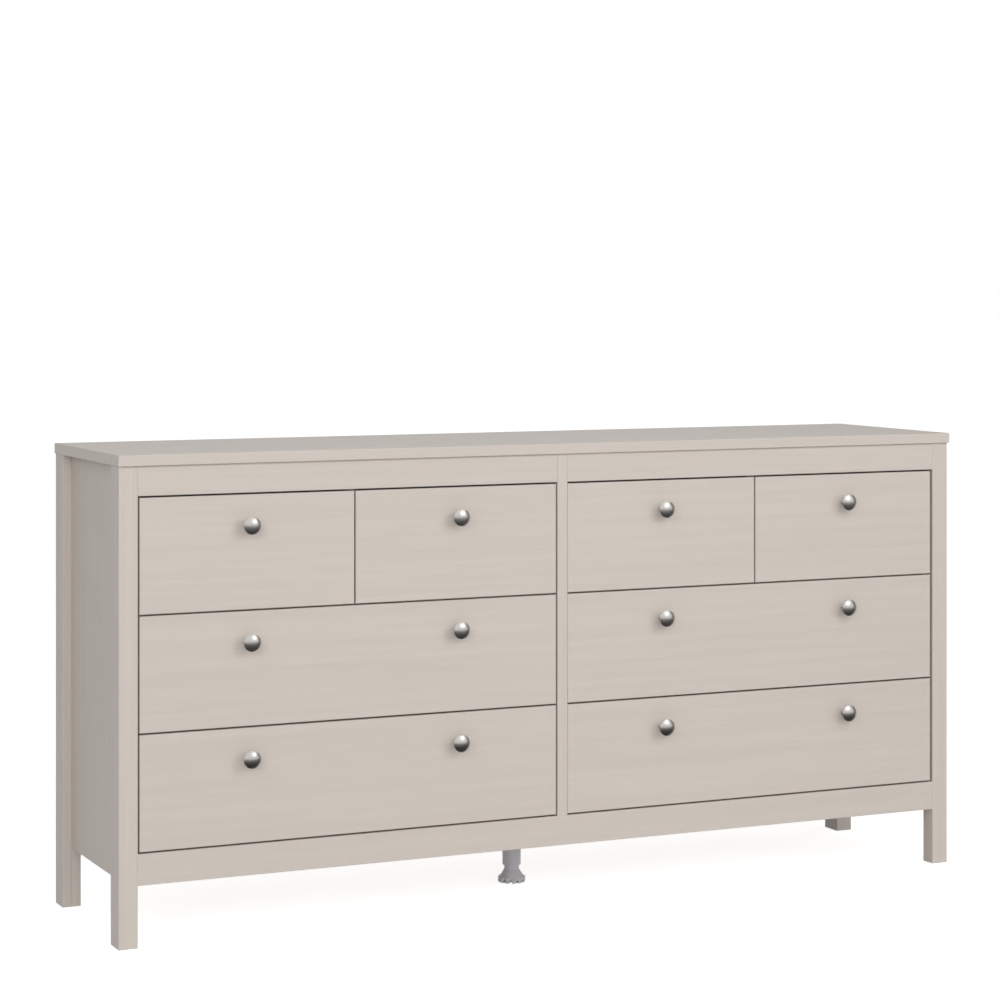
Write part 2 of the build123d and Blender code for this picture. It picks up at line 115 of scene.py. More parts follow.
def linear(hex_colour):
    """sRGB hex to linear RGBA: each channel goes through the sRGB curve, then alpha 1 is added."""
    channels = np.array([int(hex_colour[i:i + 2], 16) for i in (1, 3, 5)]) / 255
    curve = ((channels + SRGB_OFFSET) / (1 + SRGB_OFFSET)) ** SRGB_POWER
    light = np.where(channels > SRGB_KNEE, curve, channels / SRGB_SLOPE)
    return (*light.tolist(), 1.0)


def add_node(tree, kind, sockets=None, **settings):
    """Add one node. sockets maps a socket's name or number to a value, or to an output to link from."""
    node = tree.nodes.new(kind)
    for key, value in settings.items():
        setattr(node, key, value)
    for socket, value in (sockets or {}).items():
        if isinstance(value, bpy.types.NodeSocket):
            tree.links.new(value, node.inputs[socket])
        else:
            node.inputs[socket].default_value = value
    return node


def new_material(name):
    """An empty node material, with its tree and its output's socket for the surface."""
    material = bpy.data.materials.new(name)
    material.use_nodes = True
    material.node_tree.nodes.clear()
    output = add_node(material.node_tree, "ShaderNodeOutputMaterial")
    return material, material.node_tree, output.inputs["Surface"]


print("middle grey in linear light", [round(c, 3) for c in linear("#808080")])

# %% [markdown]
# ## Wood-print foil
#
# The boards are particle board wrapped in a printed paper foil under melamine resin: a warm light grey
# with a faint straight grain and a soft satin gloss. A photo of the print would be the short way, but it
# repeats and has a fixed size, so the grain is noise that is squeezed across the board and stretched
# along it. Two sizes of it are mixed, fine fibres and broad pale and dark bands, and each board shifts
# the pattern by its own random number, because no two boards are cut from one place.
# The real fibres are about a millimetre wide, and the render shows about 0.6 pixels to a millimetre, so
# they are drawn twice as wide as that.

# %% Grain
FIBRE_WIDTH = 2.2 * MM
FIBRE_LENGTH = 110 * MM
FIBRE_NOISE = {"Detail": 3.0, "Roughness": 0.6}
BAND_WIDTH = 16 * MM
BAND_LENGTH = 700 * MM
BAND_NOISE = {"Detail": 2.0, "Distortion": 0.4}


def grain_pattern(tree, place, axis, length, width, noise):
    """Noise whose features are length long on one axis and width wide on the two others."""
    scale = [1 / (length if letter == axis else width) for letter in "XYZ"]
    stretched = add_node(tree, "ShaderNodeMapping", {"Vector": place, "Scale": scale}).outputs[0]
    return add_node(tree, "ShaderNodeTexNoise", {"Vector": stretched, "Scale": 1.0, **noise}).outputs[0]


print("fibres are", round(FIBRE_LENGTH / FIBRE_WIDTH), "times as long as they are wide")

# %% Foil
FIBRE_LOW, FIBRE_HIGH = 0.3, 0.7
GRAIN_LOW, GRAIN_HIGH = 0.7, 1.3
PRINT_SHIFT = (3.1, 7.7, 5.3)
FOIL_GLOSS_SPREAD = 0.05
FOIL_RELIEF = {"Strength": 0.25, "Distance": 0.05 * MM}
FOIL_SPECULAR = 0.15


def wood_print_foil(name, axis, pale, dark, roughness):
    """Printed melamine foil: it gives the eye faint straight fibres and a broad, soft satin reflection."""
    material, tree, surface = new_material(name)
    place = add_node(tree, "ShaderNodeTexCoord").outputs["Object"]
    own = add_node(tree, "ShaderNodeObjectInfo").outputs["Random"]
    shifted = add_node(
        tree, "ShaderNodeVectorMath", {0: own, 1: PRINT_SHIFT, 2: place}, operation="MULTIPLY_ADD"
    ).outputs[0]
    fibres = grain_pattern(tree, shifted, axis, FIBRE_LENGTH, FIBRE_WIDTH, FIBRE_NOISE)
    bands = grain_pattern(tree, shifted, axis, BAND_LENGTH, BAND_WIDTH, BAND_NOISE)
    grain = add_node(tree, "ShaderNodeMath", {0: fibres, 1: bands}, operation="ADD").outputs[0]
    tone = add_node(
        tree, "ShaderNodeMapRange", {"Value": grain, "From Min": GRAIN_LOW, "From Max": GRAIN_HIGH}
    ).outputs[0]
    colour = add_node(
        tree, "ShaderNodeMix", {0: tone, 6: linear(dark), 7: linear(pale)}, data_type="RGBA"
    ).outputs[2]
    gloss = add_node(
        tree,
        "ShaderNodeMapRange",
        {
            "Value": fibres,
            "From Min": FIBRE_LOW,
            "From Max": FIBRE_HIGH,
            "To Min": roughness + FOIL_GLOSS_SPREAD,
            "To Max": roughness - FOIL_GLOSS_SPREAD,
        },
    ).outputs[0]
    relief = add_node(tree, "ShaderNodeBump", {"Height": fibres, **FOIL_RELIEF}).outputs[0]
    shader = add_node(
        tree,
        "ShaderNodeBsdfPrincipled",
        {"Base Color": colour, "Roughness": gloss, "Specular IOR Level": FOIL_SPECULAR, "Normal": relief},
    )
    tree.links.new(shader.outputs[0], surface)
    return material


foil_level = wood_print_foil("foil_grain_level", "X", "#D1C8C0", "#CBC2BA", roughness=0.45)
foil_upright = wood_print_foil("foil_grain_upright", "Z", "#D1C8C0", "#CBC2BA", roughness=0.45)
foil_deep = wood_print_foil("foil_grain_front_to_back", "Y", "#DAD5CF", "#D3CEC8", roughness=0.5)
print("foils", [foil.name for foil in (foil_level, foil_upright, foil_deep)])

# %% [markdown]
# ## Hardboard
#
# Backs and drawer bottoms are thin hardboard. One face is printed to match the foil, and the other is
# left as pressed brown fibre. Two materials on two sets of faces would do, but the boards' meshes stay as
# they are, so one material tells the faces apart by the normal in the piece's own axes: the back shows
# fibre to +Y, and a drawer bottom shows it to -Z.

# %% Hardboard
FIBRE_FLECK = 4 * MM
FLECK_DETAIL = 4.0
HARDBOARD_RELIEF = {"Strength": 0.3, "Distance": 0.1 * MM}
HARDBOARD_ROUGHNESS = 0.62
FACING = 0.5


def hardboard(name, raw_axis, raw_test, raw_limit):
    """Pressed fibre sheet: matt brown with small flecks on the raw face, pale smooth print elsewhere.
    A face is raw where its normal's part on raw_axis passes raw_test against raw_limit."""
    material, tree, surface = new_material(name)
    coordinates = add_node(tree, "ShaderNodeTexCoord").outputs
    flecks = add_node(
        tree,
        "ShaderNodeTexNoise",
        {"Vector": coordinates["Object"], "Scale": 1 / FIBRE_FLECK, "Detail": FLECK_DETAIL},
    ).outputs[0]
    raw = add_node(
        tree, "ShaderNodeMix", {0: flecks, 6: linear("#7A5A3C"), 7: linear("#98744F")}, data_type="RGBA"
    ).outputs[2]
    normal = add_node(tree, "ShaderNodeSeparateXYZ", {0: coordinates["Normal"]}).outputs[raw_axis]
    is_raw = add_node(tree, "ShaderNodeMath", {0: normal, 1: raw_limit}, operation=raw_test).outputs[0]
    colour = add_node(
        tree, "ShaderNodeMix", {0: is_raw, 6: linear("#D6D0C9"), 7: raw}, data_type="RGBA"
    ).outputs[2]
    relief = add_node(tree, "ShaderNodeBump", {"Height": flecks, **HARDBOARD_RELIEF}).outputs[0]
    shader = add_node(
        tree,
        "ShaderNodeBsdfPrincipled",
        {"Base Color": colour, "Roughness": HARDBOARD_ROUGHNESS, "Normal": relief},
    )
    tree.links.new(shader.outputs[0], surface)
    return material


back_hardboard = hardboard("hardboard_back", "Y", "GREATER_THAN", FACING)
bottom_hardboard = hardboard("hardboard_drawer_bottom", "Z", "LESS_THAN", -FACING)
print("hardboard", back_hardboard.name, bottom_hardboard.name)

# %% [markdown]
# ## Metals, plastics and dowels
#
# The knobs are die-cast zinc with satin nickel plating, the screws and cam fittings are zinc-plated
# steel, the runner strips are white nylon, the levelling foot is grey moulded polypropylene, and the
# dowels are beech. Each could have a material of its own kind, but all five have a fine even texture, so
# one function makes them, with a speckle size in millimetres that changes colour, gloss and relief.

# %% Metals, plastics and dowels
SPECKLE_DETAIL = 2.0
SPECKLE_GLOSS_SPREAD = 0.04
SPECKLE_RELIEF = 0.4


def speckled(name, pale, dark, metallic, roughness, speckle, depth):
    """A plain finish with fine speckle: it keeps large areas from looking flat and softens highlights."""
    material, tree, surface = new_material(name)
    place = add_node(tree, "ShaderNodeTexCoord").outputs["Object"]
    noise = add_node(
        tree, "ShaderNodeTexNoise", {"Vector": place, "Scale": 1 / speckle, "Detail": SPECKLE_DETAIL}
    ).outputs[0]
    colour = add_node(
        tree, "ShaderNodeMix", {0: noise, 6: linear(dark), 7: linear(pale)}, data_type="RGBA"
    ).outputs[2]
    smoothest = roughness - SPECKLE_GLOSS_SPREAD
    roughest = roughness + SPECKLE_GLOSS_SPREAD
    gloss = add_node(
        tree, "ShaderNodeMapRange", {"Value": noise, "To Min": smoothest, "To Max": roughest}
    ).outputs[0]
    relief = add_node(
        tree, "ShaderNodeBump", {"Strength": SPECKLE_RELIEF, "Distance": depth, "Height": noise}
    ).outputs[0]
    shader = add_node(
        tree,
        "ShaderNodeBsdfPrincipled",
        {"Base Color": colour, "Metallic": metallic, "Roughness": gloss, "Normal": relief},
    )
    tree.links.new(shader.outputs[0], surface)
    return material


# Satin nickel: a blurred mirror, so that the eye sees one soft highlight over pale zones from the room and
# dark zones painted by the glowing reflection cards further down.
satin_nickel = speckled(
    "satin_nickel", "#CDCAC6", "#C6C3BF", metallic=1.0, roughness=0.32, speckle=0.6 * MM, depth=0.005 * MM
)
# Zinc plating: a little blue and a little rougher than the nickel.
zinc_plated_steel = speckled(
    "zinc_plated_steel", "#C9CBCD", "#B4B7BA", metallic=1.0, roughness=0.35, speckle=0.5 * MM, depth=0.01 * MM
)
# Nylon: milky white with a waxy gloss.
white_nylon = speckled(
    "white_nylon", "#E9E7E2", "#E2E0DA", metallic=0.0, roughness=0.38, speckle=1.5 * MM, depth=0.02 * MM
)
# Polypropylene: grey with the fine matt grain of its mould.
grey_polypropylene = speckled(
    "grey_polypropylene", "#CECCD2", "#C7C5CB", metallic=0.0, roughness=0.5, speckle=0.8 * MM, depth=0.05 * MM
)
# Beech: pale pinkish brown with small dark flecks, turned and left bare.
beech = speckled(
    "beech_dowel", "#D9B78F", "#C79F76", metallic=0.0, roughness=0.6, speckle=1.0 * MM, depth=0.05 * MM
)
finishes = (satin_nickel, zinc_plated_steel, white_nylon, grey_polypropylene, beech)
print("finishes", [finish.name for finish in finishes])

# %% [markdown]
# ## Dressing the boards
#
# The boards of the frame have the right shape, down to their eased edges, so they stay, and only their
# material changes. Grain runs level on the top, rails, fronts and apron and upright on legs and walls, as
# a joiner lays it. Each node's name says what it is, so the finish is chosen from how the name ends, and
# a board that isn't listed has level grain. Knobs, screws and the foot get pieces of their own below.

# %% Dress the boards
FINISH_BY_ENDING = {
    "back_panel": back_hardboard,
    "_bottom": bottom_hardboard,
    "_box": foil_deep,
    "_runners": white_nylon,
    "dowels": beech,
    "cam_bolts": zinc_plated_steel,
    "cam_locks": zinc_plated_steel,
    "leg": foil_upright,
    "side_panel": foil_upright,
    "partition": foil_upright,
    "divider": foil_upright,
}


def finish_for(node):
    """The material of a node, from the first ending that its name has."""
    return next((finish for ending, finish in FINISH_BY_ENDING.items() if node.endswith(ending)), foil_level)


for node_name, board in frame["nodes"].items():
    board.data.materials.clear()
    board.data.materials.append(finish_for(node_name))
print("dressed", len(frame["nodes"]), "nodes")

# %% [markdown]
# ## Surfaces on grids
#
# Everything turned on a lathe is one profile carried round an axis: rows go along the profile and columns
# go round. Blender's Spin does the same by hand, but whole arrays of points are quicker to make and easy
# to bend into lobes or threads. The grid becomes quads by joining each point to its neighbours, and the
# last column to the first.

# %% Surface helpers
COLUMNS = 64


def turned(profile, columns=COLUMNS):
    """Points of a turned form about +Z. Each (distance, radius) of the profile makes one ring of points:
    x = radius cos(angle), y = radius sin(angle), z = distance, with angles in equal steps."""
    distance, radius = np.asarray(profile, float).T
    angle = np.arange(columns) * math.tau / columns
    x = radius[:, None] * np.cos(angle)
    y = radius[:, None] * np.sin(angle)
    z = distance[:, None] + 0 * angle
    return np.stack([x, y, z], axis=-1)


def aimed(points, origins, direction):
    """Copies of points whose +Z is turned to direction, which is along X, Y or Z, one at each origin:
    a point becomes its origin plus the point in the new axes."""
    forward = np.asarray(direction, float)
    aside = np.roll(np.abs(forward), 1)
    new_axes = np.stack([aside, np.cross(forward, aside), forward])
    return np.asarray(origins, float)[:, None, None, :] + (points @ new_axes)[None]


def grid_quads(copies, rows, columns):
    """Corner numbers of all quads: each point joins the next column, which wraps round, and the next row."""
    row, column = np.meshgrid(np.arange(rows - 1), np.arange(columns), indexing="ij")
    here = row * columns + column
    beside = row * columns + (column + 1) % columns
    one_copy = np.stack([here, beside, beside + columns, here + columns], axis=-1).reshape(-1, 4)
    first_corners = np.arange(copies) * rows * columns
    return (one_copy[None] + first_corners[:, None, None]).reshape(-1, 4)


print("a turned form has", len(grid_quads(1, 2, COLUMNS)), "quads from ring to ring")

# %% [markdown]
# ## From points to a piece
#
# A profile that starts and ends on the axis gives two poles, whose points all fall together. They are
# merged, so the skin is closed, and the normals are then turned outwards. Smooth shading with sharp edges
# over an angle keeps the curves round and the rims crisp. Each piece rides on the body that carries it
# and takes the place of the frame's plainer solid.

# %% Make a piece
MERGE_DISTANCE = 1e-7
SHARP_ANGLE = math.radians(35)


def make_piece(name, points, material, body, replaced=()):
    """A mesh from an array of copies x rows x columns points, riding on a body of the frame."""
    copies, rows, columns, _ = points.shape
    mesh = bpy.data.meshes.new(name)
    mesh.from_pydata(points.reshape(-1, 3).tolist(), [], grid_quads(copies, rows, columns).tolist())
    skin = bmesh.new()
    skin.from_mesh(mesh)
    bmesh.ops.remove_doubles(skin, verts=skin.verts, dist=MERGE_DISTANCE)
    bmesh.ops.recalc_face_normals(skin, faces=skin.faces)
    skin.to_mesh(mesh)
    skin.free()
    mesh.shade_smooth()
    mesh.set_sharp_from_angle(angle=SHARP_ANGLE)
    mesh.materials.append(material)
    piece = bpy.data.objects.new(name, mesh)
    scene.collection.objects.link(piece)
    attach(piece, body)
    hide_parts(*replaced)
    print(name, copies, "x", rows, "rows x", columns, "columns,", len(mesh.polygons), "faces")


print("edges over", round(math.degrees(SHARP_ANGLE)), "degrees stay sharp")

# %% [markdown]
# ## Reading sizes from the frame
#
# Knobs and screws share one node for each group, so the places of the single ones have to be found in its
# mesh. They could be written down again, but then two scripts would hold the same sizes. Solids that don't
# touch have no corner in common, which tells them apart.

# %% Separate solids
PLACE_DECIMALS = 6


def solids_of(node):
    """The corner points of each separate solid in a node. Every corner starts with its own label, and the
    lowest label spreads over shared triangles until nothing changes."""
    mesh = frame["nodes"][node].data
    places = np.empty(len(mesh.vertices) * 3, np.float32)
    mesh.vertices.foreach_get("co", places)
    loops = np.empty(len(mesh.loops), np.int32)
    mesh.loops.foreach_get("vertex_index", loops)
    corners, merged = np.unique(places.reshape(-1, 3).round(PLACE_DECIMALS), axis=0, return_inverse=True)
    triangles = merged.ravel()[loops].reshape(-1, 3)
    label = np.arange(len(corners))
    while True:
        spread = label.copy()
        np.minimum.at(spread, triangles.ravel(), np.repeat(label[triangles].min(axis=1), 3))
        if (spread == label).all():
            break
        label = spread
    return [corners[label == own] for own in np.unique(label)]


runner_solids = solids_of("runner_screws")
print("the screws of the runners are", len(runner_solids), "solids")

# %% [markdown]
# ## Knobs
#
# Each knob is a turned form: a round foot against the front, a waist for the fingers, a thin rim and a
# shallow dome. The frame's knob is faceted, so a smooth one takes its place, with its radius and reach
# read from the frame. The waist is a cubic that shrinks from the foot plus a fourth power that flares to
# the rim, which leaves one soft hollow between them, as a lathe tool would.

# %% Knob profile
KNOB_FOOT_RADIUS = 7.5 * MM
KNOB_FOOT_HEIGHT = 1.9 * MM
KNOB_FOOT_BEVEL = 0.3 * MM
KNOB_WAIST_RADIUS = 5.5 * MM
KNOB_RIM_EDGE = 0.6 * MM
KNOB_RIM_HEIGHT = 1.4 * MM
KNOB_DOME_EDGE = math.radians(42)
DOME_STEPS = 28
WAIST_STEPS = 24


def knob_profile(radius, reach):
    """Distance from the front and radius of the foot, waist, rim and dome. The dome is part of a circle:
    distance = reach - ball (1 - cos(angle)), radius = ball sin(angle), down to the axis. The waist's
    radius is its least radius + foot flare (1 - share) cubed + rim flare share to the fourth."""
    ball = radius / math.sin(KNOB_DOME_EDGE)
    angle = np.linspace(KNOB_DOME_EDGE, 0, DOME_STEPS)
    dome = np.stack([reach - ball * (1 - np.cos(angle)), ball * np.sin(angle)], axis=-1)
    rim_start = dome[0, 0] - KNOB_RIM_HEIGHT
    share = np.linspace(0, 1, WAIST_STEPS)
    waist_distance = KNOB_FOOT_HEIGHT + (rim_start - KNOB_FOOT_HEIGHT) * share
    foot_flare = KNOB_FOOT_RADIUS - KNOB_RIM_EDGE - KNOB_WAIST_RADIUS
    rim_flare = radius - KNOB_RIM_EDGE - KNOB_WAIST_RADIUS
    waist_radius = KNOB_WAIST_RADIUS + foot_flare * (1 - share) ** 3 + rim_flare * share**4
    foot = [
        (0, 0),
        (0, KNOB_FOOT_RADIUS - KNOB_FOOT_BEVEL),
        (KNOB_FOOT_BEVEL, KNOB_FOOT_RADIUS),
        (KNOB_FOOT_HEIGHT - KNOB_RIM_EDGE, KNOB_FOOT_RADIUS),
    ]
    rim = [(rim_start + KNOB_RIM_EDGE, radius)]
    return np.vstack([foot, np.stack([waist_distance, waist_radius], axis=-1), rim, dome])


print("the foot is", round(KNOB_FOOT_RADIUS / KNOB_WAIST_RADIUS, 2), "times as wide as the waist")

# %% Knobs on the drawers
drawers = sorted(body for body in frame["bodies"] if "drawer" in body)
front_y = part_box("front_apron")[0].y
knob_nodes = {}
knob_screws = {}
for drawer in drawers:
    knob_node = next(node for node in frame["nodes"] if node.startswith(drawer + "_knob"))
    solids = sorted(solids_of(knob_node), key=lambda corners: np.ptp(corners[:, 2]))
    # The lower half of the solids, sorted by height, are screws, and the others are knobs.
    half = len(solids) // 2
    knob_nodes[drawer] = knob_node
    knob_screws[drawer] = solids[:half]
    knob_boxes = np.array([(corners.min(axis=0), corners.max(axis=0)) for corners in solids[half:]])
    knob_radius = np.ptp(knob_boxes[0, :, 2]) / 2
    knob_reach = front_y - knob_boxes[0, 0, 1]
    places = knob_boxes.mean(axis=1)
    places[:, 1] = front_y
    knob = aimed(turned(knob_profile(knob_radius, knob_reach)), places, (0, -1, 0))
    make_piece(f"{drawer}_turned_knob", knob, satin_nickel, drawer, [knob_node])

# %% [markdown]
# ## Pan-head screws
#
# All screws have pan heads with a cross recess: knob screws inside the drawers, runner screws in their
# channels and flange screws under the foot's sleeve. The cross could be cut with a Boolean, but a head is
# only a few millimetres wide, so the top of a turned form sinks along two crossing arms instead. The
# depth depends on both the radius and the angle. Shares are of the head's radius and height.

# %% Pan-head screw
SCREW_COLUMNS = 48
HEAD_WALL = 0.35
HEAD_CROWN = 0.15
HEAD_SHOULDER = 0.8
TOP_START = 0.78
SIDE_STEPS = 8
TOP_STEPS = 26
RECESS_ARM = 0.3
RECESS_REACH = 0.62
RECESS_DEPTH = 0.55
RECESS_EDGE = 0.12


def pan_screw(head_radius, head_height, shank_radius, length):
    """Points of a screw about +Z with its seat at 0: tip, shank, head's side on a quarter ellipse, then the
    top from its edge to the middle, crowned by the square of the radius. The top sinks where the smaller
    of |x| and |y| is inside an arm and the radius is inside its reach, with sloping edges."""
    turn = np.linspace(0, math.pi / 2, SIDE_STEPS)
    side_height = HEAD_WALL + (1 - HEAD_CROWN - HEAD_WALL) * np.sin(turn)
    side_radius = HEAD_SHOULDER + (1 - HEAD_SHOULDER) * np.cos(turn)
    side = np.stack([head_height * side_height, head_radius * side_radius], axis=-1)
    top_radius = np.linspace(TOP_START, 0, TOP_STEPS)
    top_height = 1 - HEAD_CROWN * (top_radius / HEAD_SHOULDER) ** 2
    top = np.stack([head_height * top_height, head_radius * top_radius], axis=-1)
    tip = [(-length, 0), (-length + shank_radius, shank_radius), (0, shank_radius), (0, head_radius)]
    points = turned(np.vstack([tip, side, top]), SCREW_COLUMNS)
    x, y = np.abs(points[..., 0]), np.abs(points[..., 1])
    edge = RECESS_EDGE * head_radius
    arm = np.clip((RECESS_ARM * head_radius / 2 - np.minimum(x, y)) / edge + 0.5, 0, 1)
    reach = np.clip((RECESS_REACH * head_radius - np.hypot(x, y)) / edge + 0.5, 0, 1)
    is_top = (np.arange(len(points)) >= len(tip) + len(side))[:, None]
    points[..., 2] -= RECESS_DEPTH * head_height * arm * reach * is_top
    return points


print("the cross is", RECESS_DEPTH, "of the head's height deep")

# %% [markdown]
# ## Screws in their places
#
# The frame's screws give every size: the corners far from the axis belong to the head, and the others to
# the shank. Screws of one kind are alike, so one screw is worked out and copied to each place. Runner
# screws go into the walls from both sides, so they are sorted by the end that their heads are on.

# %% Screws in their places
HEAD_SHARE = 0.8


def head_of(corners, axis):
    """Each corner's distance from the middle line along axis, and whether it belongs to the head, as the
    corners do that are further out than a share of the widest."""
    across = [i for i in range(3) if i != axis]
    spread = np.linalg.norm(corners[:, across] - corners[:, across].mean(axis=0), axis=1)
    return spread, spread > HEAD_SHARE * spread.max()


def head_side(corners):
    """1 where a runner screw's head is on its +X end, else -1."""
    _, is_head = head_of(corners, 0)
    return 1 if corners[is_head, 0].mean() > corners[:, 0].mean() else -1


def screws_like(solids, axis, direction):
    """Pan-head screws in the place of solids along one axis: copies of one screw with the solids' sizes."""
    corners = solids[0]
    spread, is_head = head_of(corners, axis)
    along = corners[:, axis] * direction
    seat = along[is_head].min()
    height = along[is_head].max() - seat
    screw = pan_screw(spread.max(), height, spread[~is_head].max(), seat - along.min())
    origins = np.array([(solid.min(axis=0) + solid.max(axis=0)) / 2 for solid in solids])
    origins[:, axis] = [((solid[:, axis] * direction).max() - height) * direction for solid in solids]
    aim = np.zeros(3)
    aim[axis] = direction
    return aimed(screw, origins, aim)


for drawer in drawers:
    heads = screws_like(knob_screws[drawer], axis=1, direction=1)
    make_piece(f"{drawer}_knob_screw", heads, zinc_plated_steel, drawer, [knob_nodes[drawer]])

for side, direction in (("left", 1), ("right", -1)):
    own_solids = [solid for solid in runner_solids if head_side(solid) == direction]
    heads = screws_like(own_solids, axis=0, direction=direction)
    name = f"runner_screws_{side}_walls"
    make_piece(name, heads, zinc_plated_steel, "carcass", ["runner_screws"])

heads = screws_like(solids_of("foot_screws"), axis=2, direction=-1)
make_piece("foot_flange_screws", heads, zinc_plated_steel, "carcass", ["foot_screws"])

# %% [markdown]
# ## Spindle of the levelling foot
#
# A long dresser would sag in the middle, so one foot stands there: a sleeve under the bottom panel, a
# threaded spindle inside it, and a base with a lobed rim that is turned by hand. The thread could be a
# profile swept along a helix and joined to the rod. Here the rod's own skin is pressed in along the helix,
# so its radius depends on height and angle together, and it stays one closed surface.

# %% Spindle
THREAD_PITCH = 5 * MM
THREAD_DEPTH = 1.4 * MM
THREAD_ROWS = 15
THREAD_SLOPE = 1.6
THREAD_CREST = 0.3


def threaded_rod(radius, bottom, top):
    """A rod whose radius falls by the thread's depth along a helix: depth times a triangle wave of
    height / pitch - angle / turn, steepened and clipped so that crests and roots are flat, and faded out
    over one pitch at both ends, which are closed flat."""
    height = np.linspace(bottom, top, THREAD_ROWS * round((top - bottom) / THREAD_PITCH) + 1)
    points = turned(np.stack([height, np.full_like(height, radius)], axis=-1))
    turn_share = np.arange(COLUMNS) / COLUMNS
    wave = np.abs(2 * ((height[:, None] / THREAD_PITCH - turn_share) % 1) - 1)
    groove = np.clip(THREAD_SLOPE * wave - THREAD_CREST, 0, 1)
    ends = np.clip(np.minimum(height - bottom, top - height) / THREAD_PITCH, 0, 1)[:, None]
    points[..., :2] *= (1 - THREAD_DEPTH / radius * groove * ends)[..., None]
    on_axis = (0, 0, 1)
    return np.concatenate([points[:1] * on_axis, points, points[-1:] * on_axis])


spindle_low, spindle_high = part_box("foot_spindle")
foot_axis = (spindle_low + spindle_high) / 2
foot_axis.z = 0
spindle_radius = (spindle_high.x - spindle_low.x) / 2
spindle = aimed(threaded_rod(spindle_radius, spindle_low.z, spindle_high.z), [foot_axis], (0, 0, 1))
make_piece(
    "threaded_foot_spindle", spindle, grey_polypropylene, "foot_spindle", ["foot_spindle"]
)

# %% [markdown]
# ## Sleeve of the levelling foot
#
# The sleeve is a moulded tube with a flange on top and a wider mouth below that takes the neck of the
# base. Its wall is one closed outline, so carrying that outline round the axis gives the outside, the
# bore and both ends at once. Rounded edges have one point in the middle of the arc, which lies about 0.3
# radii from each of the two faces that the arc joins.

# %% Sleeve
SLEEVE_RADIUS = 16.5 * MM
SLEEVE_EDGE = 2 * MM
SLEEVE_MOUTH = 13.7 * MM
SLEEVE_MOUTH_DEPTH = 14 * MM
SLEEVE_STEPS = 3
FLANGE_HEIGHT = 4 * MM
FLANGE_FILLET = 3 * MM
FLANGE_EDGE = 0.5 * MM
BORE_PLAY = 0.05 * MM
ARC_MIDDLE = 0.3


def ring_section(outline, steps):
    """Rows along a closed outline of (distance, radius) corners: each straight run is cut into equal
    steps, and the last row meets the first."""
    corners = np.asarray(outline + outline[:1], float)
    share = np.arange(steps) / steps
    runs = corners[:-1, None] + (corners[1:] - corners[:-1])[:, None] * share[:, None]
    return np.vstack([runs.reshape(-1, 2), corners[:1]])


sleeve_low, sleeve_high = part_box("foot_sleeve")
flange_radius = (sleeve_high.x - sleeve_low.x) / 2
flange_under = sleeve_high.z - FLANGE_HEIGHT
mouth_top = sleeve_low.z + SLEEVE_MOUTH_DEPTH
bore = spindle_radius + BORE_PLAY
sleeve_outline = [
    (sleeve_low.z, SLEEVE_MOUTH),
    (sleeve_low.z, SLEEVE_RADIUS - SLEEVE_EDGE),
    (sleeve_low.z + ARC_MIDDLE * SLEEVE_EDGE, SLEEVE_RADIUS - ARC_MIDDLE * SLEEVE_EDGE),
    (sleeve_low.z + SLEEVE_EDGE, SLEEVE_RADIUS),
    (flange_under - FLANGE_FILLET, SLEEVE_RADIUS),
    (flange_under - ARC_MIDDLE * FLANGE_FILLET, SLEEVE_RADIUS + ARC_MIDDLE * FLANGE_FILLET),
    (flange_under, SLEEVE_RADIUS + FLANGE_FILLET),
    (flange_under, flange_radius - FLANGE_EDGE),
    (flange_under + FLANGE_EDGE, flange_radius),
    (sleeve_high.z, flange_radius),
    (sleeve_high.z, bore),
    (mouth_top, bore),
    (mouth_top, SLEEVE_MOUTH),
]
sleeve = aimed(turned(ring_section(sleeve_outline, SLEEVE_STEPS)), [foot_axis], (0, 0, 1))
make_piece("moulded_foot_sleeve", sleeve, grey_polypropylene, "carcass", ["foot_sleeve"])

# %% [markdown]
# ## Base of the levelling foot
#
# The base is one moulding: a rim with twelve lobes for the fingers, blind slots that run in under it
# between the lobes, a cone and a neck with a seat for the spindle. Lobes and slots could be cut with
# Booleans. A turned form with many columns gives them from two formulas instead: the rim is pulled in
# between the lobes by a cosine of the angle, and the underside is lifted wherever the angle falls in a
# slot. The slots go deep, so that they look dark from the side, as they do in the photograph.

# %% Outline of the base
LOBE_RADIUS = 24.6 * MM
RIM_HEIGHT = 10 * MM
RIM_BEVEL = 0.8 * MM
RIM_ROUND_HEIGHT = 1.2 * MM
RIM_ROUND_WIDTH = 1.4 * MM
RIM_ROUND_MIDDLE = 0.4 * MM
HOLLOW_RADIUS = 5 * MM
HOLLOW_DEPTH = 1 * MM
SLOT_WALL_RADIUS = 7 * MM
SLOT_WALL_SLOPE = 0.2 * MM
CONE_RADIUS = 21.5 * MM
CONE_TOP = 23 * MM
NECK_RADIUS = 13.3 * MM
SEAT_HEIGHT = 12 * MM
base_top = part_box("foot_base")[1].z
base_outline = [
    (HOLLOW_DEPTH, 0),
    (HOLLOW_DEPTH, HOLLOW_RADIUS),
    (0, HOLLOW_RADIUS),
    (0, SLOT_WALL_RADIUS),
    (0, SLOT_WALL_RADIUS + SLOT_WALL_SLOPE),
    (0, LOBE_RADIUS - RIM_BEVEL),
    (RIM_BEVEL, LOBE_RADIUS),
    (RIM_HEIGHT - RIM_ROUND_HEIGHT, LOBE_RADIUS),
    (RIM_HEIGHT - RIM_ROUND_MIDDLE, LOBE_RADIUS - RIM_ROUND_MIDDLE),
    (RIM_HEIGHT, LOBE_RADIUS - RIM_ROUND_WIDTH),
    (RIM_HEIGHT, CONE_RADIUS),
    (CONE_TOP, NECK_RADIUS),
    (base_top, NECK_RADIUS),
    (base_top, bore),
    (SEAT_HEIGHT, bore),
    (SEAT_HEIGHT, 0),
]
print("the base's outline has", len(base_outline), "corners")

